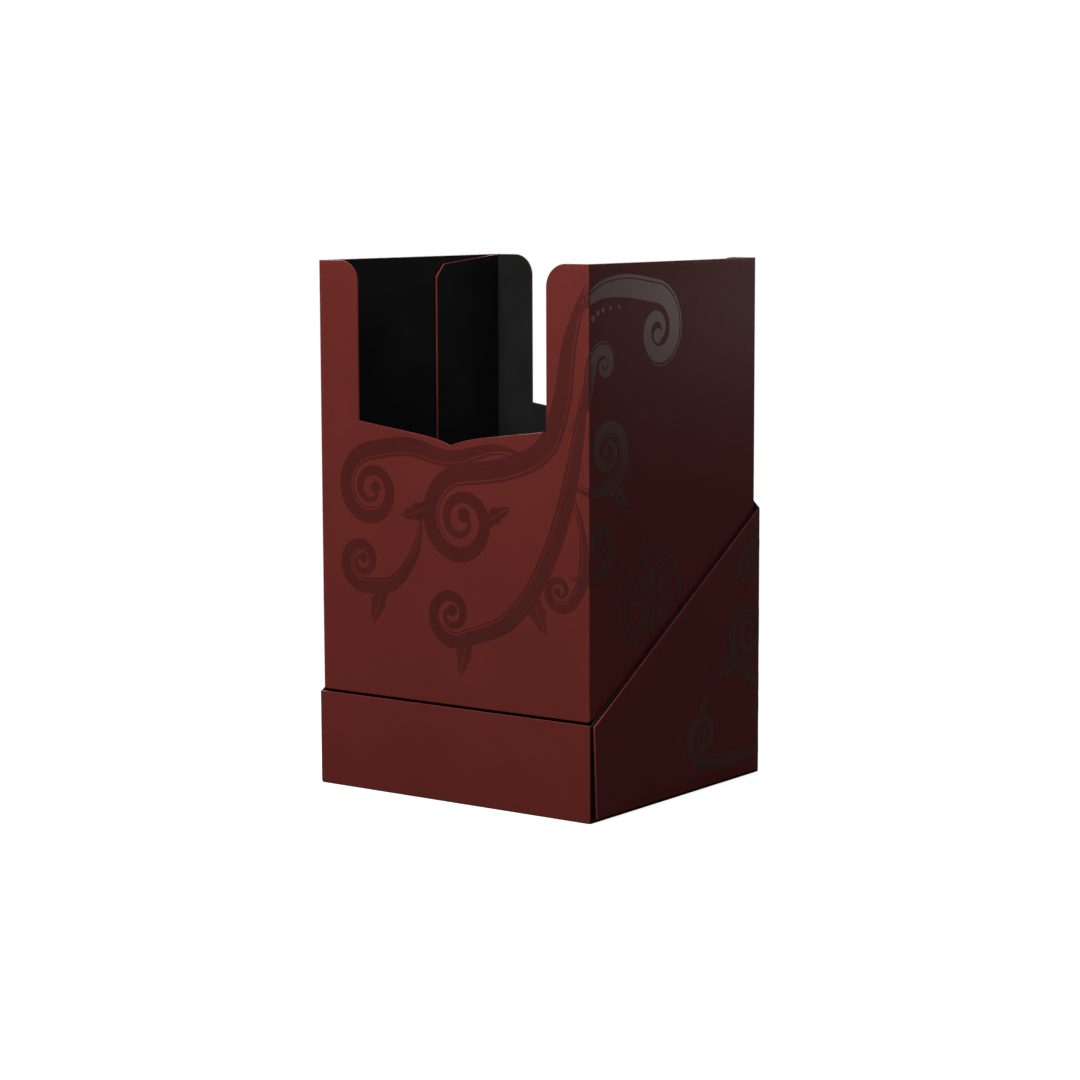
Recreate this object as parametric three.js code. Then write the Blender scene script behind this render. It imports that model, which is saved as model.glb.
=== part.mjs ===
// A card deck box folded from two thin plastic blanks, in millimetres, +Z up.
// The shell stands on the ground: a low front wall, a tall back wall and slanted side wings.
// The card tray slides in the shell and is drawn at the height where friction holds it.
// Origin: middle of the shell's underside. The front faces -Y, the right side faces +X.
import * as THREE from 'three';

// Sheet and fits
const SHEET = 0.45;
const GLUE_GAP = 0.12;
const GLUE = 0.08;
const CREASE = 0.1;
const SLIDE_GAP = 0.2;

// Shell
const SHELL_WIDTH = 77;
const SHELL_DEPTH = 67.4;
const SHELL_FRONT_HEIGHT = 21.5;
const SHELL_BACK_HEIGHT = 67.3;
const SHELL_BACK_CHAMFER = 5;
const WING_FRONT_HEIGHT = 21.2;
const WING_BACK_HEIGHT = 62;
const WING_SETBACK_TOP = 0.9;
const WING_SETBACK_BOTTOM = 1.85;
const SHELL_UNDERCUT = 0.8;
const LAYER_RISE = 0.15;
const LAYER_SEAM = 0.3;
const SHELL_FLAP_LENGTH = 20;

// Card tray
const TRAY_WIDTH = SHELL_WIDTH - 2 * (2 * SHEET + GLUE_GAP + SLIDE_GAP);
const TRAY_DEPTH = SHELL_DEPTH - 2 * (SHEET + SLIDE_GAP);
const TRAY_HEIGHT = 98;
const TRAY_LIFT = SHELL_FRONT_HEIGHT + 0.4;
const TRAY_UNDERCUT = 0.5;
const TRAY_FLAP_LENGTH = 24;
const TRAY_FLAP_DROP = 1.9;
const TRAY_FLAP_CHAMFER = 3;

// Finger cut-out in the tray's front and back panels
const CUTOUT_WIDTH = 52.1;
const CUTOUT_SIDE_DEPTH = 35.8;
const CUTOUT_POINT_DEPTH = 40.1;
const POST_RADIUS = 5;
const CURVE_STEPS = 10;

// The tray's flaps folded up from its bottom, and the glue behind every flap
const BOTTOM_FLAP_HEIGHT = 14;
const BOTTOM_FLAP_CHAMFER = 3;
const FLAP_SPACING = 1;
const FLAP_END_GAP = 2;
const GLUE_MARGIN = 3;

const RIGHT = 1;
const LEFT = -1;

const red = { color: 0x6a2e29, roughness: 0.6, metalness: 0 };
const black = { color: 0x1b1a1a, roughness: 0.65, metalness: 0 };
const clear = { color: 0xb9b39a, roughness: 0.4, metalness: 0 };

const X = new THREE.Vector3(1, 0, 0);
const Y = new THREE.Vector3(0, 1, 0);
const Z = new THREE.Vector3(0, 0, 1);

// An outline (first, second) and the thickness along the third direction.
const standingAcross = new THREE.Matrix4().makeBasis(X, Z, Y.clone().negate());
const standingAlong = new THREE.Matrix4().makeBasis(Y, Z, X);
const lying = new THREE.Matrix4();

function panel(name, shape, finish, direction, thickness = SHEET) {
  const geometry = new THREE.ExtrudeGeometry(shape, {
    depth: thickness,
    bevelEnabled: false,
    curveSegments: CURVE_STEPS,
  });
  const mesh = new THREE.Mesh(geometry, new THREE.MeshStandardMaterial(finish));
  mesh.name = name;
  mesh.quaternion.setFromRotationMatrix(direction);
  return mesh;
}

function polygon(...points) {
  return new THREE.Shape(points.map(([a, b]) => new THREE.Vector2(a, b)));
}

function rectangle(a0, a1, b0, b1) {
  return polygon([a0, b0], [a1, b0], [a1, b1], [a0, b1]);
}

// Outline (x, z): outerY is the face that looks along outward (-1 front, +1 back).
function acrossPanel(name, shape, outerY, outward) {
  const mesh = panel(name, shape, red, standingAcross);
  mesh.position.y = outward < 0 ? outerY + SHEET : outerY;
  return mesh;
}

// Outline (y, z): outerX is the distance of the outward face from the middle plane.
function sidePanel(name, shape, side, outerX, finish, thickness = SHEET) {
  const mesh = panel(name, shape, finish, standingAlong, thickness);
  mesh.position.x = side === RIGHT ? outerX - thickness : -outerX;
  return mesh;
}

function bottomPanel(name, width, depth) {
  const halfWidth = width / 2 - SHEET - GLUE_GAP;
  const halfDepth = depth / 2 - SHEET - CREASE;
  return panel(name, rectangle(-halfWidth, halfWidth, -halfDepth, halfDepth), red, lying);
}

// A panel edge with the finger cut-out: two posts with rounded corners, and a floor
// that falls gently to a point in the middle.
function cutoutShape(halfWidth) {
  const half = CUTOUT_WIDTH / 2;
  const top = TRAY_HEIGHT;
  const corner = top - CUTOUT_SIDE_DEPTH;
  const point = top - CUTOUT_POINT_DEPTH;
  const shape = new THREE.Shape();
  shape.moveTo(-halfWidth, 0);
  shape.lineTo(halfWidth, 0);
  shape.lineTo(halfWidth, top);
  shape.lineTo(half + POST_RADIUS, top);
  shape.absarc(half + POST_RADIUS, top - POST_RADIUS, POST_RADIUS, Math.PI / 2, Math.PI, false);
  shape.lineTo(half, corner);
  shape.bezierCurveTo(0.53 * half, corner - 1.8, 0.19 * half, point + 2.1, 0, point);
  shape.bezierCurveTo(-0.19 * half, point + 2.1, -0.53 * half, corner - 1.8, -half, corner);
  shape.lineTo(-half, top - POST_RADIUS);
  shape.absarc(-half - POST_RADIUS, top - POST_RADIUS, POST_RADIUS, 0, Math.PI / 2, false);
  shape.lineTo(-halfWidth, top);
  return shape;
}

// A glue pad inside the outline of the flap that it holds to its wing.
function gluePad(name, side, wingOuterX, y0, y1, z0, z1) {
  const shape = rectangle(y0 + GLUE_MARGIN, y1 - GLUE_MARGIN, z0 + GLUE_MARGIN, z1 - GLUE_MARGIN);
  const outerX = wingOuterX - SHEET - (GLUE_GAP - GLUE) / 2;
  return sidePanel(name, shape, side, outerX, clear, GLUE);
}

// The low flap folded up from the tray's bottom panel, between y0 and y1.
function trayBottomFlap(name, side, outerX, y0, y1) {
  const low = SHEET + CREASE;
  const shoulder = BOTTOM_FLAP_HEIGHT - BOTTOM_FLAP_CHAMFER;
  const shape = polygon(
    [y0, low],
    [y1, low],
    [y1, shoulder],
    [y1 - BOTTOM_FLAP_CHAMFER, BOTTOM_FLAP_HEIGHT],
    [y0 + BOTTOM_FLAP_CHAMFER, BOTTOM_FLAP_HEIGHT],
    [y0, shoulder],
  );
  return sidePanel(name, shape, side, outerX, black);
}

function shell() {
  const group = new THREE.Group();
  const halfWidth = SHELL_WIDTH / 2;
  const halfDepth = SHELL_DEPTH / 2;
  const flapOuterX = halfWidth - SHEET - GLUE_GAP;
  const shoulder = SHELL_BACK_HEIGHT - SHELL_BACK_CHAMFER;

  const frontShape = rectangle(-flapOuterX, flapOuterX, 0, SHELL_FRONT_HEIGHT);
  const backShape = polygon(
    [-halfWidth, 0],
    [halfWidth, 0],
    [halfWidth, shoulder],
    [halfWidth - SHELL_BACK_CHAMFER, SHELL_BACK_HEIGHT],
    [-halfWidth + SHELL_BACK_CHAMFER, SHELL_BACK_HEIGHT],
    [-halfWidth, shoulder],
  );
  group.add(acrossPanel('shell_front_panel', frontShape, -halfDepth, -1));
  group.add(acrossPanel('shell_back_panel', backShape, halfDepth, 1));
  group.add(bottomPanel('shell_bottom_panel', SHELL_WIDTH, SHELL_DEPTH));

  const inFront = -halfDepth + SHEET + CREASE;
  const inBack = halfDepth - SHEET - CREASE;
  const wingFront = -halfDepth + WING_SETBACK_TOP;
  const wingShape = polygon(
    [-halfDepth + WING_SETBACK_BOTTOM, SHELL_UNDERCUT],
    [inBack, SHELL_UNDERCUT],
    [inBack, WING_BACK_HEIGHT],
    [wingFront, WING_FRONT_HEIGHT],
  );

  // The flaps of the front and of the bottom make one black layer inside each wing, which
  // stands a little above the wing's slanted edge all along.
  const slope = (WING_BACK_HEIGHT - WING_FRONT_HEIGHT) / (inBack - wingFront);
  const layerTop = (y) => WING_FRONT_HEIGHT + LAYER_RISE + slope * (y - wingFront);
  const flapEnd = inFront + SHELL_FLAP_LENGTH;
  const flapLow = SHEET + CREASE;
  const flapShape = polygon(
    [inFront, flapLow],
    [flapEnd, flapLow],
    [flapEnd, layerTop(flapEnd)],
    [inFront, layerTop(inFront)],
  );
  const bottomFlapStart = flapEnd + LAYER_SEAM;
  const bottomFlapEnd = inBack - LAYER_SEAM;
  const bottomFlapShape = polygon(
    [bottomFlapStart, flapLow],
    [bottomFlapEnd, flapLow],
    [bottomFlapEnd, layerTop(bottomFlapEnd)],
    [bottomFlapStart, layerTop(bottomFlapStart)],
  );

  for (const [side, word] of [[LEFT, 'left'], [RIGHT, 'right']]) {
    group.add(sidePanel(`shell_${word}_wing`, wingShape, side, halfWidth, red));
    group.add(sidePanel(`shell_front_${word}_flap`, flapShape, side, flapOuterX, black));
    group.add(sidePanel(`shell_bottom_${word}_flap`, bottomFlapShape, side, flapOuterX, black));
    group.add(gluePad(`shell_front_${word}_glue`, side, halfWidth,
      inFront, flapEnd, flapLow, layerTop(inFront)));
    group.add(gluePad(`shell_bottom_${word}_glue`, side, halfWidth,
      bottomFlapStart, bottomFlapEnd, flapLow, layerTop(bottomFlapStart)));
  }
  return group;
}

function tray() {
  const group = new THREE.Group();
  const halfWidth = TRAY_WIDTH / 2;
  const halfDepth = TRAY_DEPTH / 2;
  const flapOuterX = halfWidth - SHEET - GLUE_GAP;

  group.add(acrossPanel('tray_front_panel', cutoutShape(halfWidth), -halfDepth, -1));
  group.add(acrossPanel('tray_back_panel', cutoutShape(flapOuterX), halfDepth, 1));
  group.add(bottomPanel('tray_bottom_panel', TRAY_WIDTH, TRAY_DEPTH));

  const inFront = -halfDepth + SHEET + CREASE;
  const inBack = halfDepth - SHEET - CREASE;
  const wingShape = rectangle(inFront, halfDepth - CREASE, TRAY_UNDERCUT, TRAY_HEIGHT);
  const flapEnd = inBack - TRAY_FLAP_LENGTH;
  const flapTop = TRAY_HEIGHT - TRAY_FLAP_DROP;
  const flapLow = SHEET + CREASE;
  const flapShape = polygon(
    [inBack, flapLow],
    [inBack, TRAY_HEIGHT - CREASE],
    [flapEnd + TRAY_FLAP_CHAMFER, flapTop],
    [flapEnd, flapTop - TRAY_FLAP_CHAMFER],
    [flapEnd, flapLow + TRAY_FLAP_CHAMFER],
    [flapEnd + TRAY_FLAP_CHAMFER, flapLow],
  );
  const bottomFlapStart = inFront + FLAP_END_GAP;
  const bottomFlapEnd = flapEnd - FLAP_SPACING;

  for (const [side, word] of [[LEFT, 'left'], [RIGHT, 'right']]) {
    group.add(sidePanel(`tray_${word}_wing`, wingShape, side, halfWidth, red));
    group.add(sidePanel(`tray_back_${word}_flap`, flapShape, side, flapOuterX, black));
    group.add(trayBottomFlap(`tray_bottom_${word}_flap`, side, flapOuterX, bottomFlapStart, bottomFlapEnd));
    group.add(gluePad(`tray_back_${word}_glue`, side, halfWidth, flapEnd, inBack, flapLow, flapTop));
    group.add(gluePad(`tray_bottom_${word}_glue`, side, halfWidth,
      bottomFlapStart, bottomFlapEnd, flapLow, BOTTOM_FLAP_HEIGHT));
  }
  group.position.z = TRAY_LIFT;
  return group;
}

const deckBox = new THREE.Group();
deckBox.add(shell(), tray());

export default deckBox;
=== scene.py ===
"""The looks of a card deck box: two folded blanks of thin plastic sheet, matte dark red
outside and black inside, with a spot varnish of scrollwork on the outside."""

import math

import bpy
from mathutils import Matrix, Vector, geometry

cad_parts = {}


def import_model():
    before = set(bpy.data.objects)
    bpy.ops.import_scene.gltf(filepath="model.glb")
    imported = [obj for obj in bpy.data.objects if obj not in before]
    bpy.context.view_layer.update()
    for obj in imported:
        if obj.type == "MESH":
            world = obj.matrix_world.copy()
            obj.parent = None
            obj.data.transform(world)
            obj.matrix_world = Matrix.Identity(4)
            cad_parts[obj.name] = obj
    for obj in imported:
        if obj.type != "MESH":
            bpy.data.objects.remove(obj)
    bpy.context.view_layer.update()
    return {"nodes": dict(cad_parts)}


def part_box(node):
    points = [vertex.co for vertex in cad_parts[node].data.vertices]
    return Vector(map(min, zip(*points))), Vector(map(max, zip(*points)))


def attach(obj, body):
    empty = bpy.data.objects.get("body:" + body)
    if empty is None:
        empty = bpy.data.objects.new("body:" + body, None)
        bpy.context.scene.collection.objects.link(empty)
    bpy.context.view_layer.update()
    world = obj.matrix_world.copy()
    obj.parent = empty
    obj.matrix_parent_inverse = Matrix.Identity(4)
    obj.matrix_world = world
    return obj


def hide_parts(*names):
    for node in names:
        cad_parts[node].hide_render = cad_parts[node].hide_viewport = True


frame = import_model()

# ---------------------------------------------------------------- sizes, in millimetres

MM = 0.001

# The folds: their outer radius, how far half of one and a whole one reach along the
# sheet, and how many straight steps half of one is made of
FOLD_RADIUS = 0.3
HALF_FOLD = FOLD_RADIUS * math.pi / 4
WHOLE_FOLD = 2 * HALF_FOLD
FOLD_STEPS = 4

# How far a cut edge bulges out between the sheet's two faces
BARE_RIM = 0.08

# How far the middle of a wide panel bows out
TRAY_BOW = 0.08
SHELL_BOW = 0.12

# How far the varnish reaches above and below the sheet's surface
PRINT_THICKNESS = 0.03
PRINT_ROOT = 0.01

# The meshes: the spacing of their inner points, the least half-width of a printed line,
# the least area of a printed patch in square millimetres, the distances within which a
# point lies in a fold, two points are one and the filling joins them, and the angle in
# degrees from which an edge is sharp
GRID = 6.0
FINEST_LINE = 0.02
SMALLEST_PATCH = 0.0005
SAME_PLACE = 0.001
SAME_POINT = 0.0001
JOINED = 0.00001
SHARP_ANGLE = 40

# The least cosine that counts between the normals of a corner's two edges, so that a very
# sharp corner isn't moved far in
SHARPEST_CORNER = -0.5

# The finger cut-out and the posts beside it. The cut-out's floor is a curve on each side,
# whose two handles lie at a share of the half-width, a little below the side's end and a
# little above the point.
CUTOUT_HALF_WIDTH = 26.05
CUTOUT_SIDE_DEPTH = 35.8
CUTOUT_POINT_DEPTH = 40.1
OUTER_HANDLE_SHARE = 0.53
OUTER_HANDLE_DROP = 1.8
INNER_HANDLE_SHARE = 0.19
INNER_HANDLE_RISE = 2.1
POST_RADIUS = 5.0

# The shell's slanted wings, the black layer inside them, whose black top stands a little above each
# wing's slanted edge as a painted shade line, and its back panel
WING_FRONT_TOP = 21.2
WING_SETBACK_TOP = 0.9
WING_SETBACK_BOTTOM = 1.85
# painted shade: this rise makes the black layer's top show as a dark line above each wing's slanted
# edge, standing for the shadow in the slit
PAINTED_SHADE_RISE = 0.15
SHELL_BACK_CHAMFER = 5.0

# The tray's flaps
FLAP_CHAMFER = 3.0
TRAY_FLAP_DROP = 1.9


def box_mm(node):
    """A CAD node's lowest and highest corners in millimetres."""
    low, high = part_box(node)
    return low / MM, high / MM


front_low, front_high = box_mm("tray_front_panel")
back_low, back_high = box_mm("tray_back_panel")
tray_wing_low, tray_wing_high = box_mm("tray_right_wing")
tray_flap_low, _ = box_mm("tray_back_right_flap")
shell_front_low, shell_front_high = box_mm("shell_front_panel")
_, shell_back_high = box_mm("shell_back_panel")
shell_wing_low, shell_wing_high = box_mm("shell_right_wing")
shell_flap_low, shell_flap_high = box_mm("shell_front_right_flap")
SHEET = front_high.y - front_low.y


# ---------------------------------------------------------------- folded surfaces


def turn(distance, flat):
    """Goes this far from the middle of a panel, and round the fold that begins at flat.
    Returns how far across and how far behind the face it ends, and the normal there."""
    beyond = max(0.0, distance - flat)
    angle = min(beyond / FOLD_RADIUS, math.pi / 2)
    straight = max(0.0, beyond - WHOLE_FOLD)
    across = min(distance, flat) + FOLD_RADIUS * math.sin(angle)
    behind = FOLD_RADIUS * (1 - math.cos(angle)) + straight
    return across, behind, math.sin(angle), math.cos(angle)


class Belt:
    """A panel across the box with its two sides, unrolled. u runs from the panel's middle
    round both corners. v is the height above the panel's foot, and goes on round the fold
    there."""

    def __init__(self, node, facing, bow, side_length):
        low, high = box_mm(node)
        self.flat = high.x - FOLD_RADIUS
        self.facing = facing
        self.face = low.y if facing < 0 else high.y
        self.bottom = low.z
        self.height = high.z - low.z
        self.side = self.flat + WHOLE_FOLD
        self.bow = bow
        self.side_length = side_length

    def bulge(self, u, v):
        """How far the panel or side bows out here."""
        if abs(u) <= self.flat:
            share = (u + self.flat) / (2 * self.flat)
        else:
            share = min(1.0, max(0.0, (abs(u) - self.side) / self.side_length))
        rise = min(1.0, max(0.0, v / self.height))
        return self.bow * math.sin(math.pi * share) * math.sin(math.pi * rise)

    def place(self, u, v, lift):
        """The point in space that lies at (u, v), lifted off the surface."""
        across, behind, lean_x, lean_out = turn(abs(u), self.flat)
        down, under, lean_down, level = turn(FOLD_RADIUS - v, 0)
        lift = lift + self.bulge(u, v)
        out = level * lift - under
        x = math.copysign(across + lean_x * out, u)
        y = self.face + self.facing * (lean_out * out - behind)
        z = self.bottom + FOLD_RADIUS - down - lean_down * lift
        return Vector((x, y, z)) * MM

    def in_fold(self, corner):
        """True in the middle of a fold, where the next panel goes on."""
        beside = abs(abs(corner[0]) - self.flat - HALF_FOLD) < SAME_PLACE
        below = abs(corner[1] - FOLD_RADIUS + HALF_FOLD) < SAME_PLACE
        return beside or below

    def folds(self):
        """The lines of constant u on both corners, and of constant v on the bottom fold."""
        steps = [WHOLE_FOLD * i / (2 * FOLD_STEPS) for i in range(2 * FOLD_STEPS + 1)]
        us = [s * (self.flat + d) for s in (-1, 1) for d in steps]
        vs = [FOLD_RADIUS - HALF_FOLD * i / FOLD_STEPS for i in range(FOLD_STEPS + 1)]
        return us, vs


class Pan:
    """A bottom panel with what folds up from it. u and v run from its middle."""

    def __init__(self, half_width, half_depth, bottom):
        self.flat_x = half_width - FOLD_RADIUS
        self.flat_y = half_depth - FOLD_RADIUS
        self.bottom = bottom

    def place(self, u, v, lift):
        """The point in space that lies at (u, v), lifted off the surface."""
        across_x, rise_x, lean_x, level_x = turn(abs(u), self.flat_x)
        across_y, rise_y, lean_y, level_y = turn(abs(v), self.flat_y)
        x = math.copysign(across_x + lean_x * lift, u)
        y = math.copysign(across_y + lean_y * lift, v)
        z = self.bottom + rise_x + rise_y - level_x * level_y * lift
        return Vector((x, y, z)) * MM

    def in_fold(self, corner):
        """True at the end of a side fold or in the middle of a front or back one."""
        beside = abs(abs(corner[0]) - self.flat_x - WHOLE_FOLD) < SAME_PLACE
        beyond = abs(abs(corner[1]) - self.flat_y - HALF_FOLD) < SAME_PLACE
        return beside or beyond

    def folds(self):
        """The lines of constant u and v on the four folds."""
        steps = [WHOLE_FOLD * i / (2 * FOLD_STEPS) for i in range(2 * FOLD_STEPS + 1)]
        us = [s * (self.flat_x + d) for s in (-1, 1) for d in steps]
        vs = [s * (self.flat_y + d) for s in (-1, 1) for d in steps]
        return us, vs


# ---------------------------------------------------------------- sheets cut to an outline


def around(cx, cy, radius, angle):
    """The point this far from a centre, at an angle in degrees."""
    turned = math.radians(angle)
    return cx + radius * math.cos(turned), cy + radius * math.sin(turned)


def arc(cx, cy, radius, first, last, steps=12):
    """Points on an arc, with its angles in degrees."""
    angles = [first + (last - first) * i / steps for i in range(steps + 1)]
    return [around(cx, cy, radius, angle) for angle in angles]


def bezier(a, b, c, d, steps=14):
    """Points on a cubic curve from a to d."""
    points = []
    for i in range(steps + 1):
        t = i / steps
        weights = ((1 - t) ** 3, 3 * t * (1 - t) ** 2, 3 * t * t * (1 - t), t**3)
        points.append(tuple(sum(w * p[k] for w, p in zip(weights, (a, b, c, d))) for k in (0, 1)))
    return points


def without_repeats(points):
    """The outline without points that lie on the one before."""
    kept = []
    for p in points:
        if not kept or math.dist(p, kept[-1]) > SAME_POINT:
            kept.append(p)
    if math.dist(kept[0], kept[-1]) <= SAME_POINT:
        kept.pop()
    return kept


def grid_points(low, high):
    """Points inside a rectangle, a grid's step apart."""
    counts = [max(1, round((high[k] - low[k]) / GRID)) for k in (0, 1)]
    return [
        (low[0] + (high[0] - low[0]) * i / counts[0], low[1] + (high[1] - low[1]) * j / counts[1])
        for i in range(1, counts[0])
        for j in range(1, counts[1])
    ]


def turned_area(a, b, c):
    """The area of a triangle, above 0 if its corners go counterclockwise."""
    return ((b[0] - a[0]) * (c[1] - a[1]) - (b[1] - a[1]) * (c[0] - a[0])) / 2


def triangles_of(patches):
    """The patches as counterclockwise triangles, so that one that crosses itself at a tight
    bend still covers only itself."""
    found = []
    for patch in patches:
        for b, c in zip(patch[1:], patch[2:]):
            area = turned_area(patch[0], b, c)
            if abs(area) > SMALLEST_PATCH:
                found.append([patch[0], b, c] if area > 0 else [patch[0], c, b])
    return found


def fill(outlines, marks, surface):
    """Triangles of the outlines, or of what the marks cover of them, with edges along the
    surface's folds."""
    points, edges, faces = [], [], []
    for outline in outlines + marks:
        faces.append(list(range(len(points), len(points) + len(outline))))
        points += outline
    low = [min(p[k] for o in outlines for p in o) for k in (0, 1)]
    high = [max(p[k] for o in outlines for p in o) for k in (0, 1)]
    us, vs = surface.folds()
    for u in (u for u in us if low[0] < u < high[0]):
        edges.append((len(points), len(points) + 1))
        points += [(u, low[1] - 1), (u, high[1] + 1)]
    for v in (v for v in vs if low[1] < v < high[1]):
        edges.append((len(points), len(points) + 1))
        points += [(low[0] - 1, v), (high[0] + 1, v)]
    points += grid_points(low, high)
    made = geometry.delaunay_2d_cdt([Vector(p) for p in points], edges, faces, 0, JOINED)
    corners, triangles, origins = made[0], made[2], made[5]
    sheets = set(range(len(outlines)))
    kept = []
    for triangle, origin in zip(triangles, origins):
        found = set(origin)
        if found & sheets and (not marks or found - sheets):
            kept.append(list(triangle))
    return corners, kept


def rim_shifts(corners, border, surface, rim):
    """How far the points of a sheet's two faces move in from its cut edges. They stay where
    they are at its folds."""
    inward = {}
    for a, b in border:
        if surface.in_fold(corners[a]) and surface.in_fold(corners[b]):
            continue
        along = (corners[b] - corners[a]).normalized()
        for i in (a, b):
            inward.setdefault(i, []).append(Vector((-along.y, along.x)))
    shifts = {}
    for i, normals in inward.items():
        agree = max(SHARPEST_CORNER, normals[0].dot(normals[-1]))
        shifts[i] = rim * (normals[0] + normals[-1]) / (1 + agree)
    return shifts


def border_of(faces):
    """The edges that only one face has, in its direction."""
    directed = {edge for a, b, c in faces for edge in ((a, b), (b, c), (c, a))}
    return sorted((a, b) for a, b in directed if (b, a) not in directed)


def closed_sheet(name, corners, triangles, surface, outer, inner, rim):
    """A closed mesh between two heights on a surface, whose cut edge bulges out by the rim."""
    used = sorted({i for t in triangles for i in t})
    number = {old: new for new, old in enumerate(used)}
    corners = [corners[i] for i in used]
    count = len(corners)
    outer_faces = [tuple(number[i] for i in triangle) for triangle in triangles]
    inner_faces = [(c + count, b + count, a + count) for a, b, c in outer_faces]
    border = border_of(outer_faces)
    shifts = rim_shifts(corners, border, surface, rim)
    shrunk = [corner + shifts.get(i, Vector((0, 0))) for i, corner in enumerate(corners)]
    places = [surface.place(*corner, height) for height in (outer, inner) for corner in shrunk]
    middle = {}
    for i in sorted({i for edge in border for i in edge}):
        middle[i] = len(places)
        places.append(surface.place(*corners[i], (outer + inner) / 2))
    walls = [(b, a, middle[a], middle[b]) for a, b in border]
    walls += [(middle[b], middle[a], a + count, b + count) for a, b in border]
    return sheet_piece(name, places, [outer_faces, inner_faces, walls])


def sheet_piece(name, places, groups):
    """A piece made of a sheet's outer faces, inner faces and edge, which have the materials
    0, 1 and 2."""
    mesh = bpy.data.meshes.new(name)
    mesh.from_pydata(places, [], [face for group in groups for face in group])
    kinds = [kind for kind, group in enumerate(groups) for _ in group]
    mesh.polygons.foreach_set("material_index", kinds)
    mesh.polygons.foreach_set("use_smooth", [True] * len(kinds))
    if faces_inward(mesh, len(groups[0])):
        mesh.flip_normals()
    mesh.set_sharp_from_angle(angle=math.radians(SHARP_ANGLE))
    mesh.update()
    piece = bpy.data.objects.new(name, mesh)
    bpy.context.scene.collection.objects.link(piece)
    return piece


def faces_inward(mesh, outer_count):
    """True if the outer faces look towards the inner ones."""
    face = mesh.polygons[0]
    behind = mesh.polygons[outer_count]
    return (behind.center - face.center).dot(face.normal) > 0


def cut_sheet(node, outline, surface, body, materials):
    """One panel or flap of a blank, which stands for the CAD node."""
    corners, triangles = fill([without_repeats(outline)], [], surface)
    piece = closed_sheet(f"{node}_sheet", corners, triangles, surface, 0.0, -SHEET, BARE_RIM)
    for material in materials:
        piece.data.materials.append(material)
    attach(piece, body)
    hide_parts(node)


def varnish_print(name, outlines, marks, surface, body):
    """The spot varnish on a blank's outside: a film over what the marks cover."""
    corners, triangles = fill([without_repeats(o) for o in outlines], triangles_of(marks), surface)
    piece = closed_sheet(name, corners, triangles, surface, PRINT_THICKNESS, -PRINT_ROOT, 0.0)
    piece.data.materials.append(varnish)
    piece.data.polygons.foreach_set("material_index", [0] * len(piece.data.polygons))
    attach(piece, body)


# ---------------------------------------------------------------- scrollwork, as convex patches

# How much of its radius a spiral winds in by, and how many points a turn of it has
WINDING = 0.86
SPIRAL_POINTS = 30

# A leaf: how deep its lobes are as a share of its width, its bare vein's half-width as a
# share of the leaf's and a least width, the angle from the stem and the bend in degrees,
# its half-width as a share of its length, and how much shorter the last on a stem is
LOBE_DEPTH = 0.14
VEIN_SHARE = 0.04
VEIN_LEAST = 0.09
LEAF_ANGLE = 38
LEAF_BEND = 34
LEAF_SLIMNESS = 0.2
LEAF_SHORTENING = 0.4

# The rosette's petals
PETALS = 8


def ribbon(spine, halves):
    """Patches along a spine of points, with a half-width at each."""
    sides = []
    for i, (p, half) in enumerate(zip(spine, halves)):
        before, after = spine[max(0, i - 1)], spine[min(len(spine) - 1, i + 1)]
        along = Vector(after) - Vector(before)
        normal = Vector((-along.y, along.x)).normalized() * max(half, FINEST_LINE)
        sides.append((tuple(Vector(p) + normal), tuple(Vector(p) - normal)))
    return [[r0, r1, l1, l0] for (l0, r0), (l1, r1) in zip(sides, sides[1:])]


def dot(x, y, radius):
    """A round patch with twelve corners."""
    return [arc(x, y, radius, 0, 330, 11)]


def smooth_route(points, steps=10):
    """A smooth curve through a few points."""
    first = 2 * Vector(points[0]) - Vector(points[1])
    last = 2 * Vector(points[-1]) - Vector(points[-2])
    chain = [first, *[Vector(p) for p in points], last]
    spine = []
    for i in range(len(points) - 1):
        a, b, c, d = chain[i : i + 4]
        for k in range(steps):
            t = k / steps
            p = 2 * b + (c - a) * t + (2 * a - 5 * b + 4 * c - d) * t**2 + (3 * b - 3 * c + d - a) * t**3
            spine.append(tuple(p / 2))
    return spine + [tuple(points[-1])]


def spiral(x, y, radius, turns, hand, before):
    """Points that wind in to (x, y), from where a straight line from the point before
    touches the circle round it. hand is 1 for counterclockwise."""
    away = Vector(before) - Vector((x, y))
    start = math.atan2(away.y, away.x) + hand * math.acos(radius / away.length)
    steps = round(SPIRAL_POINTS * turns)
    points = []
    for i in range(steps + 1):
        t = i / steps
        reach = radius * (1 - WINDING * t**0.8)
        angle = start + hand * 2 * math.pi * turns * t
        points.append((x + reach * math.cos(angle), y + reach * math.sin(angle)))
    return points


def side_of(spine, i):
    """The direction to the left of a spine at its point i."""
    along = Vector(spine[min(len(spine) - 1, i + 1)]) - Vector(spine[max(0, i - 1)])
    return Vector((-along.y, along.x)).normalized()


def swelling(spine, half, peak, tail):
    """Half-widths that swell from nothing to half at the share peak, and thin again."""
    last = len(spine) - 1
    halves = []
    for i in range(last + 1):
        t = i / last
        if t < peak:
            halves.append(half * math.sin(math.pi / 2 * t / peak))
        else:
            halves.append(half * (tail + (1 - tail) * math.cos(math.pi / 2 * (t - peak) / (1 - peak))))
    return halves


def stroke(spine, half, peak, tail):
    """A ribbon along a spine that swells and thins."""
    return ribbon(spine, swelling(spine, half, peak, tail))


def hairline(spine, halves, side, gap, half, share):
    """A fine line that keeps a small gap beside a stroke over a share of it."""
    count = round(share * len(spine))
    beside = []
    for i in range(count):
        beside.append(tuple(Vector(spine[i]) + side * (halves[i] + gap) * side_of(spine, i)))
    return stroke(beside, half, peak=0.4, tail=0.2)


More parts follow.
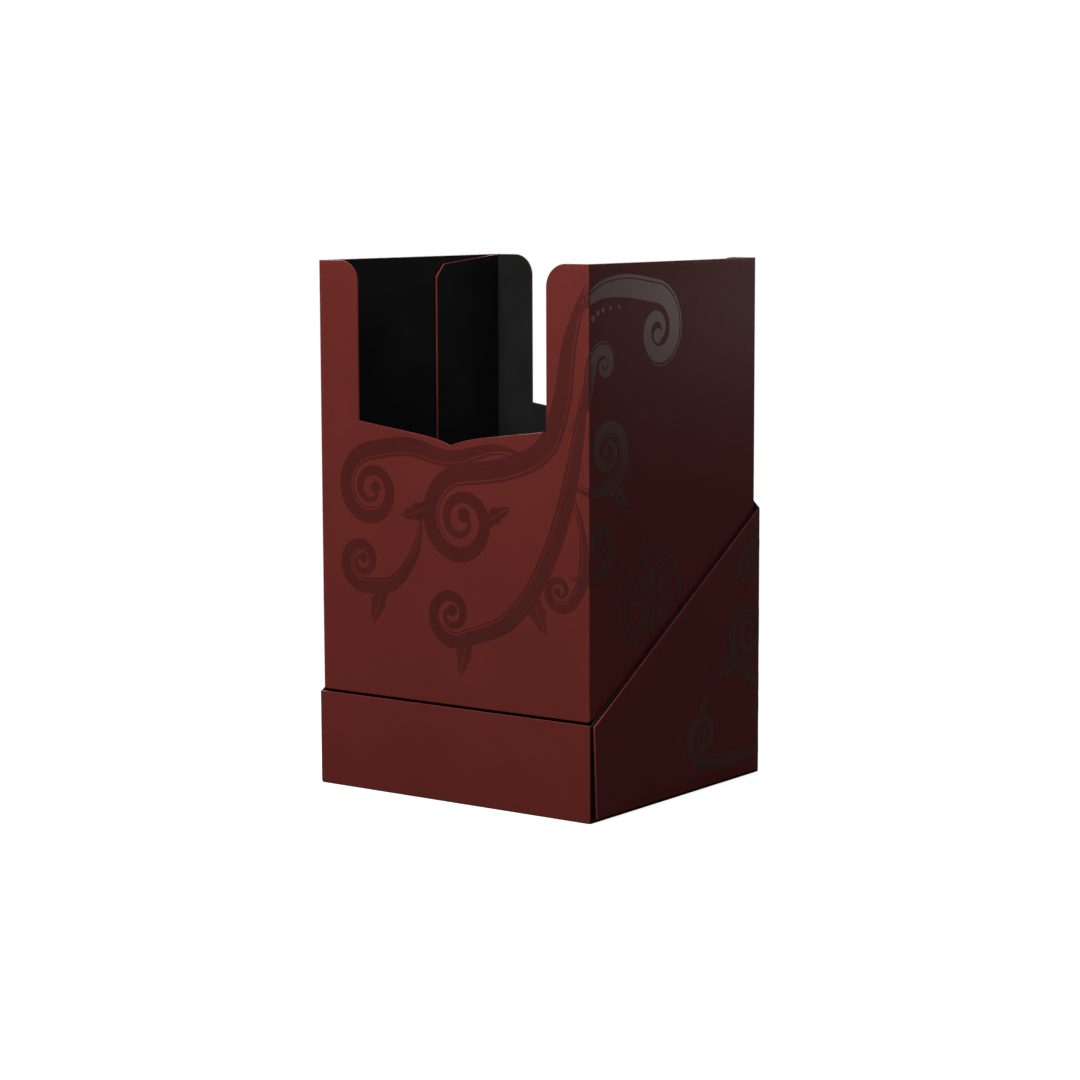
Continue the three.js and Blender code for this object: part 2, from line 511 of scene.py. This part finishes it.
def course(x, y, heading, length, bend, steps=14):
    """Points from (x, y) on a curve whose heading turns evenly by bend degrees."""
    spine = [(x, y)]
    for i in range(steps):
        angle = math.radians(heading + bend * (i + 0.5) / steps)
        x += math.cos(angle) * length / steps
        y += math.sin(angle) * length / steps
        spine.append((x, y))
    return spine


def leaf(x, y, heading, length, half, bend):
    """A leaf from (x, y) with three lobes on each side and a bare vein."""
    spine = course(x, y, heading, length, bend)
    patches = []
    for side in (-1, 1):
        strip = []
        for i, p in enumerate(spine):
            t = i / (len(spine) - 1)
            lobes = 1 + LOBE_DEPTH * math.sin(6 * math.pi * t - 1)
            edge = half * math.sin(math.pi * t**0.8) * lobes
            vein = min(VEIN_SHARE * half + VEIN_LEAST, 0.5 * edge)
            across = side * side_of(spine, i)
            strip.append((tuple(Vector(p) + vein * across), tuple(Vector(p) + edge * across)))
        patches += [[a, b, d, c] for (a, b), (c, d) in zip(strip, strip[1:])]
    return patches


def petal(x, y, heading, length, half):
    """A straight pointed stroke from (x, y)."""
    return stroke(course(x, y, heading, length, bend=0), half, peak=0.4, tail=0.0)


def leaves(spine, shares, side, length):
    """Leaves on one side of a spine at these shares of it, which shorten along it. side is 1
    for its left."""
    patches = []
    for share in shares:
        i = max(1, round(share * (len(spine) - 2)))
        left = side_of(spine, i)
        heading = math.degrees(math.atan2(-left.x, left.y))
        reach = length * (1 - LEAF_SHORTENING * share)
        angle = heading + side * LEAF_ANGLE
        patches += leaf(*spine[i], angle, reach, LEAF_SLIMNESS * reach, side * LEAF_BEND)
    return patches


def scroll(route, curl, half, side, leaves_at=(), leaf_length=12):
    """A stem along a route that winds up in a spiral with a bud. It has leaves on one side
    and a hairline on the other. curl is the spiral's centre, radius, turns and hand."""
    winding = spiral(*curl, route[-1])
    spine = smooth_route([*route, winding[0]])[:-1] + winding
    halves = swelling(spine, half, peak=0.35, tail=0.12)
    gap = 0.3 + 0.16 * half
    fine = 0.08 + 0.14 * half
    patches = ribbon(spine, halves) + dot(*spine[-1], 0.8 * half)
    patches += hairline(spine, halves, -side, gap, fine, share=0.62)
    return patches + leaves(spine, leaves_at, side, leaf_length)


def beads(spine, shares, side, away, radius):
    """A row of dots beside a spine, which get smaller along it."""
    patches = []
    for k, share in enumerate(shares):
        i = max(1, round(share * (len(spine) - 2)))
        spot = Vector(spine[i]) + side * away * side_of(spine, i)
        patches += dot(*spot, radius * (1 - 0.5 * k / len(shares)))
    return patches


def mirrored_patches(patches):
    """The same patches on the other side of the panel's middle."""
    return [mirrored(patch) for patch in patches]


def ring(x, y, radius, half):
    """A round line."""
    circle = arc(x, y, radius, 0, 360, 60)
    return ribbon(circle, [half] * len(circle))


def rosette(x, y, radius):
    """A round emblem: two rings, petals with a dot between each two, and a bud."""
    patches = ring(x, y, radius, 0.05 * radius) + ring(x, y, 0.88 * radius, 0.02 * radius)
    for k in range(PETALS):
        heading = 360 / PETALS * k
        root = around(x, y, 0.2 * radius, heading)
        patches += petal(*root, heading, 0.58 * radius, 0.12 * radius)
        spot = around(x, y, 0.66 * radius, heading + 180 / PETALS)
        patches += dot(*spot, 0.06 * radius)
    return patches + dot(x, y, 0.12 * radius)


def front_scrollwork():
    """The large scrolls on the tray's front, which all grow from the right post."""
    to_middle = [(36.5, 94), (34, 88), (31.5, 80), (29.5, 68), (25, 58.5), (15, 54)]
    to_foot = [(36.8, 74), (36, 68), (34.2, 58), (31, 45), (25, 31), (16, 20)]
    to_left = [(22, 56.5), (12, 58), (0, 55.5), (-12, 57.5)]
    to_low_left = [(-8, 43.5), (-9.5, 34), (-16, 26)]
    by_corner = [(33, 50), (36, 40), (36, 31)]
    art = scroll(to_middle, (3, 41.5, 10.5, 1.9, 1), 2.1, -1, (0.56, 0.7))
    art += scroll(to_foot, (0, 20.5, 6.5, 1.6, -1), 1.7, 1, (0.4, 0.54))
    art += scroll(to_left, (-22.5, 47, 9, 1.8, 1), 1.7, -1)
    art += scroll(to_low_left, (-25.5, 30.5, 6, 1.6, -1), 1.4, 1, (0.3,), 11)
    return art + scroll(by_corner, (29.5, 28, 4.5, 1.4, -1), 1.1, 1)


def side_scrollwork(lead):
    """The scrolls on a side, which start this far before the corner, and the emblem low on
    the side."""
    corner = tray_front.side - FOLD_RADIUS
    start = corner - lead
    crest = [(start, 86), (start + 7.5, 91.3), (start + 18, 92.6)]
    upper = [(start, 62), (start + 4.5, 68), (start + 6, 75)]
    middle = [(start, 51), (start + 7, 49)]
    lower = [(start, 31), (start + 5, 30.5)]
    art = scroll(crest, (start + 31, 83, 8, 1.5, -1), 2.1, -1)
    art += beads(smooth_route(crest), [0.3, 0.46, 0.62, 0.78, 0.94], -1, 3.7, 0.78)
    art += scroll(upper, (start + 10.5, 76.5, 4, 1.3, -1), 1.3, -1)
    art += scroll(middle, (start + 12, 58, 7.5, 1.7, 1), 1.4, -1, (0.24,), 10)
    art += scroll(lower, (start + 9, 38, 5.5, 1.4, 1), 1.1, -1)
    return art + rosette(corner + 24, 24, 11)


def shell_scrollwork():
    """The scrolls on the shell's back panel and round its corners, and the emblem."""
    corner = shell_back.side - FOLD_RADIUS
    inner = [(0, 8), (10, 10), (20, 18)]
    outer = [(14, 8.5), (25, 11), (corner - 3, 19)]
    low = [(26, 10), (corner - 3, 6), (corner + 14, 5)]
    high = [(28, 48), (corner - 3, 54)]
    art = scroll(inner, (15, 30, 8, 1.7, 1), 1.6, -1, (0.14, 0.32))
    art += scroll(outer, (corner + 5, 34, 8, 1.8, 1), 1.5, -1, (0.2, 0.36))
    art += scroll(low, (corner + 24, 12.5, 6.5, 1.6, 1), 1.4, -1, (0.56,), 9)
    art += scroll(high, (corner + 5, 49, 4.5, 1.4, -1), 1.1, 1, (0.25,), 7)
    return art + mirrored_patches(art) + rosette(0, 42, 8)


# ---------------------------------------------------------------- materials

# Base colours, most of them in pairs between which a noise mixes
RED_DARKER = (0.116, 0.0178, 0.0142)
RED_LIGHTER = (0.128, 0.0199, 0.0158)
RED_GRAIN = (0.090, 0.0137, 0.0109)
RED_WORN = (0.2, 0.05, 0.043)
BLACK_DARKER = (0.0095, 0.0093, 0.0092)
BLACK_LIGHTER = (0.0135, 0.0131, 0.013)
EDGE_DARKER = (0.125, 0.018, 0.015)
EDGE_LIGHTER = (0.2, 0.034, 0.029)
VARNISH_DARKER = (0.057, 0.0046, 0.0032)
VARNISH_LIGHTER = (0.065, 0.0058, 0.0042)
GLUE_DARKER = (0.42, 0.38, 0.24)
GLUE_LIGHTER = (0.56, 0.52, 0.36)

# Where the rubbed band along an edge is full, and where it ends
RUB_FULL = 0.1
RUB_END = 1.3


class Nodes:
    """Short names for building a material's nodes."""

    def __init__(self, name):
        self.material = bpy.data.materials.new(name)
        self.material.use_nodes = True
        self.tree = self.material.node_tree
        self.tree.nodes.clear()
        self.out = self.add("ShaderNodeOutputMaterial")
        self.shader = self.add("ShaderNodeBsdfPrincipled")
        self.link(self.shader.outputs["BSDF"], self.out.inputs["Surface"])
        self.place = self.add("ShaderNodeTexCoord").outputs["Object"]

    def add(self, kind, **settings):
        node = self.tree.nodes.new(kind)
        for key, value in settings.items():
            setattr(node, key, value)
        return node

    def link(self, a, b):
        self.tree.links.new(a, b)

    def noise(self, size_mm, detail, roughness=0.5):
        node = self.add("ShaderNodeTexNoise")
        node.inputs["Scale"].default_value = 1 / (size_mm * MM)
        node.inputs["Detail"].default_value = detail
        node.inputs["Roughness"].default_value = roughness
        self.link(self.place, node.inputs["Vector"])
        return node.outputs["Fac"]

    def ramp(self, value, source, target=(0, 1)):
        """Goes evenly over the target range while the value goes over the source range."""
        node = self.add("ShaderNodeMapRange")
        node.inputs["From Min"].default_value, node.inputs["From Max"].default_value = source
        node.inputs["To Min"].default_value, node.inputs["To Max"].default_value = target
        self.link(value, node.inputs["Value"])
        return node.outputs["Result"]

    def math(self, operation, a, b=None):
        node = self.add("ShaderNodeMath", operation=operation)
        for socket, value in zip(node.inputs, (a, b)):
            if isinstance(value, (int, float)):
                socket.default_value = value
            elif value is not None:
                self.link(value, socket)
        return node.outputs["Value"]

    def mix(self, factor, a, b):
        node = self.add("ShaderNodeMix", data_type="RGBA")
        self.link(factor, node.inputs["Factor"])
        for key, colour in (("A", a), ("B", b)):
            if isinstance(colour, tuple):
                node.inputs[key].default_value = (*colour, 1.0)
            else:
                self.link(colour, node.inputs[key])
        return node.outputs["Result"]

    def bump(self, height, depth_mm, strength, below=None):
        node = self.add("ShaderNodeBump")
        node.inputs["Distance"].default_value = depth_mm * MM
        node.inputs["Strength"].default_value = strength
        self.link(height, node.inputs["Height"])
        if below is not None:
            self.link(below, node.inputs["Normal"])
        return node.outputs["Normal"]

    def glow(self, strength):
        node = self.add("ShaderNodeEmission")
        node.inputs["Strength"].default_value = strength
        return node.outputs["Emission"]

    def mix_shaders(self, factor, a, b):
        node = self.add("ShaderNodeMixShader")
        for socket, value in zip(node.inputs, (factor, a, b)):
            self.link(value, socket)
        return node.outputs["Shader"]

    def gloss(self, level):
        self.shader.inputs["Specular IOR Level"].default_value = level

    def finish(self, colour, roughness, normal):
        self.link(colour, self.shader.inputs["Base Color"])
        self.link(roughness, self.shader.inputs["Roughness"])
        self.link(normal, self.shader.inputs["Normal"])
        return self.material


def edge_rub(n, half_x, half_y, rim):
    """1 on the upright folds and the rim of a box, falling to 0 in a millimetre or so."""
    split = n.add("ShaderNodeSeparateXYZ")
    n.link(n.place, split.inputs["Vector"])
    x_in = n.math("SUBTRACT", half_x * MM, n.math("ABSOLUTE", split.outputs["X"]))
    y_in = n.math("SUBTRACT", half_y * MM, n.math("ABSOLUTE", split.outputs["Y"]))
    fold = n.math("MAXIMUM", x_in, y_in)
    top = n.math("SUBTRACT", rim * MM, split.outputs["Z"])
    nearest = n.math("MINIMUM", fold, top)
    return n.ramp(nearest, (RUB_FULL * MM, RUB_END * MM), (1, 0))


def outside_material(name, half_x, half_y, rim):
    """Matte dark red plastic with fine grain, faint orange peel and slightly rubbed edges."""
    n = Nodes(name)
    cloud = n.noise(22, detail=3)
    grain = n.noise(0.35, detail=3, roughness=0.6)
    scuffs = n.noise(2.4, detail=4, roughness=0.7)
    colour = n.mix(n.ramp(cloud, (0.35, 0.65)), RED_DARKER, RED_LIGHTER)
    colour = n.mix(n.ramp(grain, (0.3, 0.8), (0, 0.5)), colour, RED_GRAIN)
    rub = n.math("MULTIPLY", edge_rub(n, half_x, half_y, rim), n.ramp(scuffs, (0.42, 0.62)))
    colour = n.mix(n.math("MULTIPLY", rub, 0.25), colour, RED_WORN)
    roughness = n.ramp(grain, (0.25, 0.75), (0.40, 0.50))
    roughness = n.math("SUBTRACT", roughness, n.math("MULTIPLY", rub, 0.12))
    peel = n.bump(n.noise(1.6, detail=2), depth_mm=0.03, strength=0.25)
    n.gloss(0.12)
    return n.finish(colour, roughness, n.bump(grain, depth_mm=0.02, strength=0.5, below=peel))


def inside_material():
    """Matte black plastic with fine grain and faint clouds."""
    n = Nodes("black_inside")
    grain = n.noise(0.3, detail=3, roughness=0.6)
    cloud = n.noise(14, detail=3)
    colour = n.mix(n.ramp(cloud, (0.35, 0.65)), BLACK_DARKER, BLACK_LIGHTER)
    roughness = n.ramp(grain, (0.25, 0.75), (0.62, 0.76))
    peel = n.bump(n.noise(2.2, detail=2), depth_mm=0.03, strength=0.25)
    n.gloss(0.05)
    return n.finish(colour, roughness, n.bump(grain, depth_mm=0.02, strength=0.55, below=peel))


def edge_material():
    """The red of a cut edge, rough from the knife."""
    n = Nodes("cut_edge")
    fibre = n.noise(0.25, detail=4, roughness=0.7)
    colour = n.mix(n.ramp(fibre, (0.3, 0.7)), EDGE_DARKER, EDGE_LIGHTER)
    roughness = n.ramp(fibre, (0.3, 0.7), (0.5, 0.75))
    n.gloss(0.15)
    return n.finish(colour, roughness, n.bump(fibre, depth_mm=0.04, strength=0.6))


def varnish_material():
    """Clear satin varnish over the red, which looks darker than it and shines more."""
    n = Nodes("spot_varnish")
    cloud = n.noise(18, detail=3)
    ripple = n.noise(2.5, detail=2, roughness=0.5)
    colour = n.mix(n.ramp(cloud, (0.35, 0.65)), VARNISH_DARKER, VARNISH_LIGHTER)
    roughness = n.ramp(n.noise(0.6, detail=3), (0.3, 0.7), (0.33, 0.4))
    n.gloss(0.6)
    return n.finish(colour, roughness, n.bump(ripple, depth_mm=0.02, strength=0.15))


def glue_material():
    """Dried clear glue, a little yellow."""
    n = Nodes("clear_glue")
    flow = n.noise(1.5, detail=3)
    colour = n.mix(n.ramp(flow, (0.3, 0.7)), GLUE_DARKER, GLUE_LIGHTER)
    roughness = n.ramp(flow, (0.3, 0.7), (0.3, 0.5))
    return n.finish(colour, roughness, n.bump(flow, depth_mm=0.05, strength=0.4))


# ---------------------------------------------------------------- the two blanks

tray_side_length = tray_wing_high.y - front_low.y
tray_front = Belt("tray_front_panel", -1, TRAY_BOW, tray_side_length)
tray_back = Belt("tray_back_panel", 1, TRAY_BOW, back_high.y - tray_flap_low.y)
shell_front = Belt("shell_front_panel", -1, SHELL_BOW, shell_flap_high.y - shell_front_low.y)
shell_back = Belt("shell_back_panel", 1, SHELL_BOW, shell_back_high.y - shell_wing_low.y)
tray_pan = Pan(back_high.x, back_high.y, front_low.z)
shell_pan = Pan(shell_front_high.x, shell_back_high.y, 0.0)

tray_outside = outside_material("matte_red_tray", front_high.x, back_high.y, front_high.z)
shell_outside = outside_material("matte_red_shell", *shell_back_high)
inside = inside_material()
cut_edge = edge_material()
varnish = varnish_material()
glue = glue_material()


def panel_outline(surface, top):
    """A panel across the box to the middle of its side folds and of its bottom fold. top
    holds the points of its upper edge, from right to left."""
    end = surface.flat + HALF_FOLD
    low = FOLD_RADIUS - HALF_FOLD
    return [
        (-surface.flat, low),
        (surface.flat, low),
        (surface.flat, FOLD_RADIUS),
        (end, FOLD_RADIUS),
        *top,
        (-end, FOLD_RADIUS),
        (-surface.flat, FOLD_RADIUS),
    ]


def mirrored(points):
    """The same outline on the other side of the middle."""
    return [(-u, v) for u, v in reversed(points)]


def cutout_top(end, height):
    """The upper edge of a tray panel: two posts and the cut-out with its pointed floor."""
    half = CUTOUT_HALF_WIDTH
    corner = height - CUTOUT_SIDE_DEPTH
    point = height - CUTOUT_POINT_DEPTH
    turn_level = height - POST_RADIUS
    centre = half + POST_RADIUS
    right = [(end, height), *arc(centre, turn_level, POST_RADIUS, 90, 180)]
    outer_handle = (OUTER_HANDLE_SHARE * half, corner - OUTER_HANDLE_DROP)
    inner_handle = (INNER_HANDLE_SHARE * half, point + INNER_HANDLE_RISE)
    right += bezier((half, corner), outer_handle, inner_handle, (0, point))
    return right + mirrored(right[:-1])


def side_outline(surface, points):
    """A wing or side flap of a belt, from the middle of its fold. Each of its points is how
    far it is from the fold's middle, and its height."""
    start = surface.flat + HALF_FOLD
    return [(start + d, v) for d, v in points]


def side_pair(name, outline, surface, body, materials):
    """The right and the left one of a pair of wings or flaps."""
    for word, points in (("right", outline), ("left", mirrored(outline))):
        cut_sheet(name.format(word), points, surface, body, materials)


def bottom_outline(pan):
    """A bottom panel with its side folds, to the middle of its front and back folds."""
    end = pan.flat_y + HALF_FOLD
    side = pan.flat_x + WHOLE_FOLD
    quarter = [(side, pan.flat_y), (pan.flat_x, pan.flat_y), (pan.flat_x, end)]
    half = quarter + mirrored(quarter)
    return half + [(u, -v) for u, v in reversed(half)]


def bottom_flap_outline(pan, node):
    """A flap folded up from the bottom, over the depth of its CAD node."""
    low, high = box_mm(node)
    start = pan.flat_x + WHOLE_FOLD
    top = start + high.z - pan.bottom - FOLD_RADIUS
    shoulder = top - FLAP_CHAMFER
    return [
        (start, low.y),
        (shoulder, low.y),
        (top, low.y + FLAP_CHAMFER),
        (top, high.y - FLAP_CHAMFER),
        (shoulder, high.y),
        (start, high.y),
    ]


def tray_wing_outline():
    """A side wall of the tray, whose foot is cut a little short."""
    end = HALF_FOLD + tray_wing_high.y - front_low.y - FOLD_RADIUS
    low = tray_wing_low.z - front_low.z
    high = tray_front.height
    return side_outline(tray_front, [(0, low), (end, low), (end, high), (0, high)])


def tray_flap_outline():
    """A back flap of the tray. Its lower end is chamfered, and so is its upper end, which
    also drops a little away from the fold."""
    end = HALF_FOLD + back_high.y - FOLD_RADIUS - tray_flap_low.y
    foot = tray_flap_low.z - back_low.z
    head = tray_back.height - TRAY_FLAP_DROP
    return side_outline(tray_back, [
        (0, foot),
        (end - FLAP_CHAMFER, foot),
        (end, foot + FLAP_CHAMFER),
        (end, head - FLAP_CHAMFER),
        (end - FLAP_CHAMFER, head),
        (0, tray_back.height),
    ])


def build_tray():
    """The tray's nine sheets. Its flaps are black on both sides."""
    body = "card_tray"
    coated = [tray_outside, inside, cut_edge]
    black = [inside, inside, cut_edge]
    for node, surface in (("tray_front_panel", tray_front), ("tray_back_panel", tray_back)):
        outline = panel_outline(surface, cutout_top(surface.flat + HALF_FOLD, surface.height))
        cut_sheet(node, outline, surface, body, coated)
    cut_sheet("tray_bottom_panel", bottom_outline(tray_pan), tray_pan, body, coated)
    side_pair("tray_{}_wing", tray_wing_outline(), tray_front, body, coated)
    side_pair("tray_back_{}_flap", tray_flap_outline(), tray_back, body, black)
    bottom_flap = bottom_flap_outline(tray_pan, "tray_bottom_right_flap")
    side_pair("tray_bottom_{}_flap", bottom_flap, tray_pan, body, black)


def wing_top(y):
    """The height of the slanted edge of the shell's wings, this far back."""
    front = shell_front_low.y + WING_SETBACK_TOP
    slope = (shell_wing_high.z - WING_FRONT_TOP) / (shell_wing_high.y - front)
    return WING_FRONT_TOP + slope * (y - front)


def layer_top(y):
    """The height of the black layer inside a wing, which stands a little above it, so that its black top
    shows as a painted shade line along the wing's slanted edge.
    """
    return wing_top(y) + PAINTED_SHADE_RISE


def shell_wing_outline():
    """A side wall of the shell, with its slanted top and front edges."""
    low = shell_wing_low.z
    depth = HALF_FOLD + shell_back_high.y - FOLD_RADIUS - shell_front_low.y
    return side_outline(shell_back, [
        (0, low),
        (depth - WING_SETBACK_BOTTOM, low),
        (depth - WING_SETBACK_TOP, WING_FRONT_TOP),
        (0, wing_top(shell_back_high.y)),
    ])


def shell_front_flap_outline():
    """A front flap of the shell: the front part of the black layer inside a wing."""
    low = shell_flap_low.z
    back = shell_flap_high.y
    end = HALF_FOLD + back - FOLD_RADIUS - shell_front_low.y
    top = [(end, layer_top(back)), (0, layer_top(shell_flap_low.y))]
    return side_outline(shell_front, [(0, low), (end, low), *top])


def shell_bottom_flap_outline():
    """A bottom flap of the shell: the back part of the black layer inside a wing."""
    low, high = box_mm("shell_bottom_right_flap")
    start = shell_pan.flat_x + WHOLE_FOLD
    up = start - FOLD_RADIUS
    top = [(up + layer_top(low.y), low.y), (up + layer_top(high.y), high.y)]
    return [(start, low.y), *top, (start, high.y)]


def shell_back_outline():
    """The shell's tall back panel with its chamfered top corners."""
    end = shell_back.flat + HALF_FOLD
    shoulder = shell_back.height - SHELL_BACK_CHAMFER
    inner = shell_back_high.x - SHELL_BACK_CHAMFER
    top = [(end, shoulder), (inner, shell_back.height)]
    return panel_outline(shell_back, top + mirrored(top))


def build_shell():
    """The shell's nine sheets. Its flaps are black all over, also at their cut edges, which is painted
    shade: the black edges show as shadow in the slits beside the wings.
    """
    body = "shell"
    coated = [shell_outside, inside, cut_edge]
    # painted shade: the flaps' cut edges take the black inside material instead of the red cut edge, so
    # that they look shadowed in the slits
    black = [inside, inside, inside]
    end = shell_front.flat + HALF_FOLD
    top = [(end, shell_front.height), (-end, shell_front.height)]
    front = panel_outline(shell_front, top)
    cut_sheet("shell_front_panel", front, shell_front, body, coated)
    cut_sheet("shell_back_panel", shell_back_outline(), shell_back, body, coated)
    cut_sheet("shell_bottom_panel", bottom_outline(shell_pan), shell_pan, body, coated)
    side_pair("shell_{}_wing", shell_wing_outline(), shell_back, body, coated)
    front_flap = shell_front_flap_outline()
    side_pair("shell_front_{}_flap", front_flap, shell_front, body, black)
    bottom_flap = shell_bottom_flap_outline()
    side_pair("shell_bottom_{}_flap", bottom_flap, shell_pan, body, black)


def print_tray():
    """The tray's varnish, on its front and both wings. The left side's scrolls start past
    the corner, so that the left post stays plain."""
    top = cutout_top(tray_front.flat + HALF_FOLD, tray_front.height)
    wing = tray_wing_outline()
    sheets = [panel_outline(tray_front, top), wing, mirrored(wing)]
    art = front_scrollwork() + side_scrollwork(5) + mirrored_patches(side_scrollwork(-2))
    varnish_print("tray_print", sheets, art, tray_front, "card_tray")


def print_shell():
    """The shell's varnish, on its back and both wings, below the back's chamfers."""
    end = shell_back.flat + HALF_FOLD
    shoulder = shell_back.height - SHELL_BACK_CHAMFER
    wing = shell_wing_outline()
    sheets = [panel_outline(shell_back, [(end, shoulder), (-end, shoulder)]), wing, mirrored(wing)]
    varnish_print("shell_print", sheets, shell_scrollwork(), shell_back, "shell")


def finish_glue():
    """The glue lines are CAD nodes that stay as they are, with a better material."""
    for name, node in frame["nodes"].items():
        if name.endswith("glue"):
            node.data.materials.clear()
            node.data.materials.append(glue)


# ---------------------------------------------------------------- floor, light and camera

# The camera: where it stands in metres, how far it is turned, tipped down and rolled in
# degrees, and its lens in millimetres
CAMERA_PLACE = Vector((0.3791, -0.5168, 0.1358))
CAMERA_AZIMUTH = 36.256
CAMERA_DOWN = 7.142
CAMERA_ROLL = -0.192
CAMERA_LENS = 93.65

# The floor: its radius and the distances between which the faint shadow fades out, in
# metres, its glow near the box, and the grey that the box sees
FLOOR_RADIUS = 3.0
SHADOW_FADES = (0.05, 0.25)
FLOOR_GLOW = 0.86
FLOOR_GREY = 0.09

# The light of the sky at the horizon and straight up
SKY_LOW = 0.08
SKY_HIGH = 0.5

# What the lights are aimed at: the middle of the box, and the upper part of its right side
BOX_MIDDLE = (0, 0, 0.06)
RIGHT_SIDE = (0.037, 0, 0.1)


def softbox(name, place, target, width, height, watts, colour=(1, 1, 1)):
    """A rectangular light aimed at the target."""
    lamp = bpy.data.lights.new(name, "AREA")
    lamp.shape = "RECTANGLE"
    lamp.size = width
    lamp.size_y = height
    lamp.energy = watts
    lamp.color = colour
    thing = bpy.data.objects.new(name, lamp)
    thing.location = place
    thing.visible_camera = False
    thing.rotation_mode = "QUATERNION"
    thing.rotation_quaternion = (Vector(target) - thing.location).to_track_quat("-Z", "Y")
    bpy.context.scene.collection.objects.link(thing)


def lights():
    """A key light in front and above, a small one that grazes the right side from behind,
    and a large one behind the box."""
    softbox("key_light", (-0.008, -0.285, 0.35), BOX_MIDDLE, width=0.135, height=0.16, watts=1.92)
    softbox("rim_light", (0.13, 0.19, 0.11), RIGHT_SIDE, width=0.05, height=0.05, watts=0.0235,
            colour=(1, 0.88, 0.86))
    softbox("back_light", (-0.7, 0.7, 0.5), BOX_MIDDLE, width=0.5, height=0.5, watts=7.5)


def camera():
    """A camera that sees the box as the photograph does."""
    data = bpy.data.cameras.new("camera")
    data.lens = CAMERA_LENS
    data.sensor_width = 36
    data.clip_start = 0.01
    thing = bpy.data.objects.new("camera", data)
    turned = Matrix.Rotation(math.radians(CAMERA_AZIMUTH), 4, "Z")
    turned @= Matrix.Rotation(math.radians(90 - CAMERA_DOWN), 4, "X")
    turned @= Matrix.Rotation(math.radians(CAMERA_ROLL), 4, "Z")
    thing.matrix_world = Matrix.Translation(CAMERA_PLACE) @ turned
    bpy.context.scene.collection.objects.link(thing)
    bpy.context.scene.camera = thing


def lit_paper(n):
    """White paper that glows evenly far from the box, and takes a faint shadow near it."""
    fibre = n.ramp(n.noise(0.8, detail=4), (0.3, 0.7), (0.34, 0.36))
    paper = n.add("ShaderNodeBsdfDiffuse")
    n.link(fibre, paper.inputs["Color"])
    near = n.add("ShaderNodeAddShader")
    n.link(paper.outputs["BSDF"], near.inputs[0])
    n.link(n.glow(FLOOR_GLOW), near.inputs[1])
    reach = n.add("ShaderNodeVectorMath", operation="LENGTH")
    n.link(n.place, reach.inputs[0])
    far = n.ramp(reach.outputs["Value"], SHADOW_FADES)
    return n.mix_shaders(far, near.outputs["Shader"], n.glow(1.0))


def floor():
    """A white floor. The camera sees it lit evenly, and the box sees it as the dim table of
    a dark studio."""
    bpy.ops.mesh.primitive_circle_add(vertices=96, radius=FLOOR_RADIUS, fill_type="NGON")
    thing = bpy.context.object
    thing.name = "floor"
    n = Nodes("floor_paper")
    n.tree.nodes.remove(n.shader)
    seen = n.add("ShaderNodeLightPath").outputs["Is Camera Ray"]
    dim = n.add("ShaderNodeBsdfDiffuse")
    dim.inputs["Color"].default_value = (FLOOR_GREY, FLOOR_GREY, FLOOR_GREY, 1)
    n.link(n.mix_shaders(seen, dim.outputs["BSDF"], lit_paper(n)), n.out.inputs["Surface"])
    thing.data.materials.append(n.material)


def world():
    """White to the camera. The box is lit from it softly from above, and little from the sides."""
    made = bpy.data.worlds.new("studio")
    made.use_nodes = True
    tree = made.node_tree
    tree.nodes.clear()
    direction = tree.nodes.new("ShaderNodeTexCoord")
    split = tree.nodes.new("ShaderNodeSeparateXYZ")
    strength = tree.nodes.new("ShaderNodeMapRange")
    strength.inputs["To Min"].default_value = SKY_LOW
    strength.inputs["To Max"].default_value = SKY_HIGH
    soft = tree.nodes.new("ShaderNodeBackground")
    soft.inputs["Color"].default_value = (1, 1, 1, 1)
    white = tree.nodes.new("ShaderNodeBackground")
    white.inputs["Color"].default_value = (1, 1, 1, 1)
    seen = tree.nodes.new("ShaderNodeLightPath")
    mix = tree.nodes.new("ShaderNodeMixShader")
    out = tree.nodes.new("ShaderNodeOutputWorld")
    tree.links.new(direction.outputs["Generated"], split.inputs["Vector"])
    tree.links.new(split.outputs["Z"], strength.inputs["Value"])
    tree.links.new(strength.outputs["Result"], soft.inputs["Strength"])
    tree.links.new(seen.outputs["Is Camera Ray"], mix.inputs["Fac"])
    tree.links.new(soft.outputs["Background"], mix.inputs[1])
    tree.links.new(white.outputs["Background"], mix.inputs[2])
    tree.links.new(mix.outputs["Shader"], out.inputs["Surface"])
    bpy.context.scene.world = made


build_tray()
build_shell()
print_tray()
print_shell()
finish_glue()
camera()
floor()
world()
lights()
bpy.context.scene.view_settings.view_transform = "Standard"
